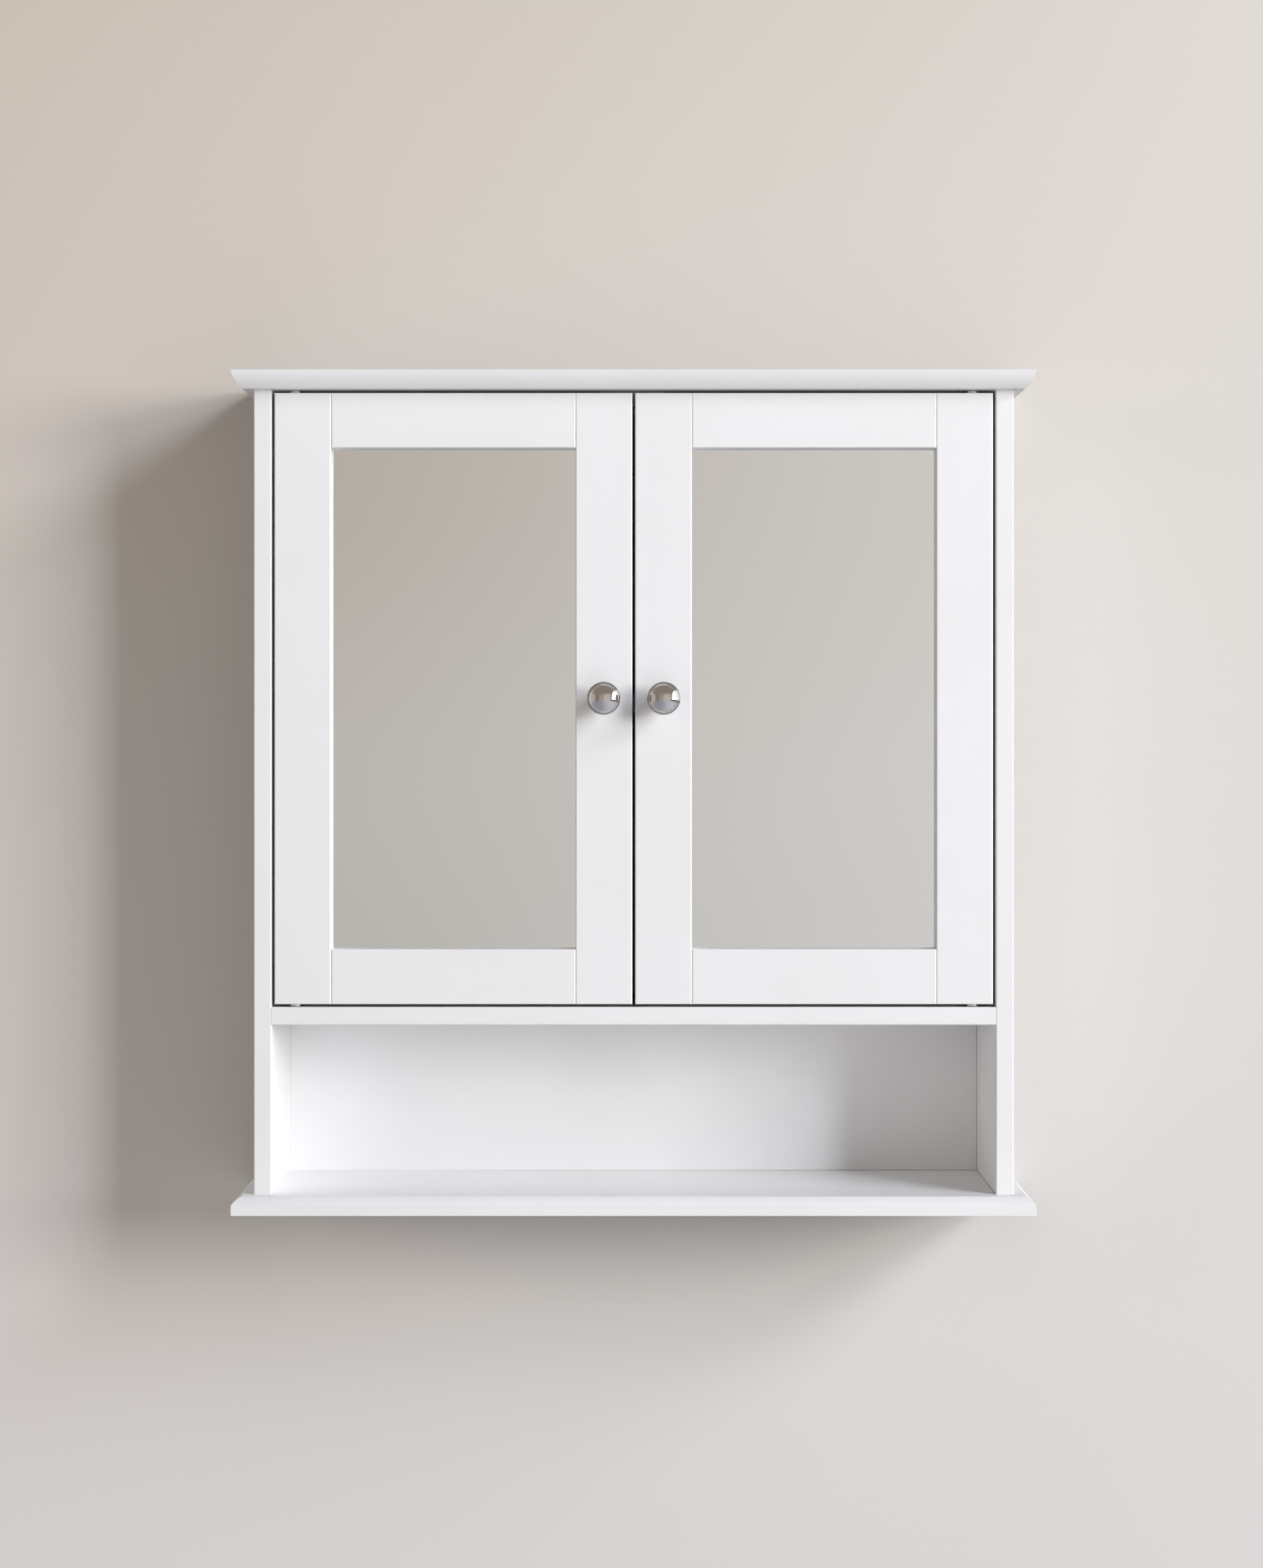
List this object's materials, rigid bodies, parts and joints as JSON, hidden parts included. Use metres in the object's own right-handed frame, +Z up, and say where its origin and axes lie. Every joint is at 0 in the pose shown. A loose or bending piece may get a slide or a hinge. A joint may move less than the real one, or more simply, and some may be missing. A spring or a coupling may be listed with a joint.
{
  "type": "bathroom mirror cabinet",
  "caption": "Shallow white wall cabinet with framed mirror doors on pivots, round chrome knobs, an open shelf below and rounded overhanging top and bottom boards.",
  "frame": {"origin": "on the wall plane, midway between the two wall screw holes", "axes": "+X to the viewer's right when facing the doors, +Y into the wall, +Z up"},
  "size_m": [0.56, 0.14, 0.588],
  "materials": {
    "white_paint": "satin white paint on fibreboard",
    "white_back_board": "smooth white coated hardboard",
    "brown_board": "bare brown hardboard",
    "dowel_wood": "bare beech",
    "mirror": "silvered float glass",
    "chrome": "polished chrome plate",
    "steel": "bright zinc plate",
    "nylon": "natural nylon",
    "catch_plastic": "moulded grey plastic",
    "magnet": "sintered ferrite"
  },
  "bodies": {
    "carcass": {"back_panel": "white_back_board", "back_panel_screws": "steel", "bottom_panel": "white_paint", "bottom_panel_screws": "steel", "catch_body": "catch_plastic", "catch_magnets": "magnet", "catch_screws": "steel", "corner_dowels": "dowel_wood", "hanging_rail": "white_paint", "hanging_rail_dowels": "dowel_wood", "inner_shelf": "white_paint", "left_side_panel": "white_paint", "middle_shelf": "white_paint", "middle_shelf_dowels": "dowel_wood", "pivot_bushes": "nylon", "right_side_panel": "white_paint", "shelf_pins": "steel", "top_panel": "white_paint", "top_panel_screws": "steel"},
    "left_door": {"left_door_backing_board": "brown_board", "left_door_bottom_rail": "white_paint", "left_door_clip_screws": "steel", "left_door_frame_dowels": "dowel_wood", "left_door_hinge_stile": "white_paint", "left_door_knob": "chrome", "left_door_knob_screw": "steel", "left_door_knob_stile": "white_paint", "left_door_mirror": "mirror", "left_door_mirror_clips": "steel", "left_door_pivot_pins": "steel", "left_door_strike_plate": "steel", "left_door_strike_screw": "steel", "left_door_top_rail": "white_paint"},
    "right_door": {"right_door_backing_board": "brown_board", "right_door_bottom_rail": "white_paint", "right_door_clip_screws": "steel", "right_door_frame_dowels": "dowel_wood", "right_door_hinge_stile": "white_paint", "right_door_knob": "chrome", "right_door_knob_screw": "steel", "right_door_knob_stile": "white_paint", "right_door_mirror": "mirror", "right_door_mirror_clips": "steel", "right_door_pivot_pins": "steel", "right_door_strike_plate": "steel", "right_door_strike_screw": "steel", "right_door_top_rail": "white_paint"}
  },
  "joints": [
    {"name": "left_door_hinge", "type": "hinge", "parent": "carcass", "child": "left_door", "pos_m": [-0.2375, -0.1075, -0.191], "axis": [0, 0, -1], "range_deg": [0, 110]},
    {"name": "right_door_hinge", "type": "hinge", "parent": "carcass", "child": "right_door", "pos_m": [0.2375, -0.1075, -0.191], "axis": [0, 0, 1], "range_deg": [0, 110]}
  ]
}
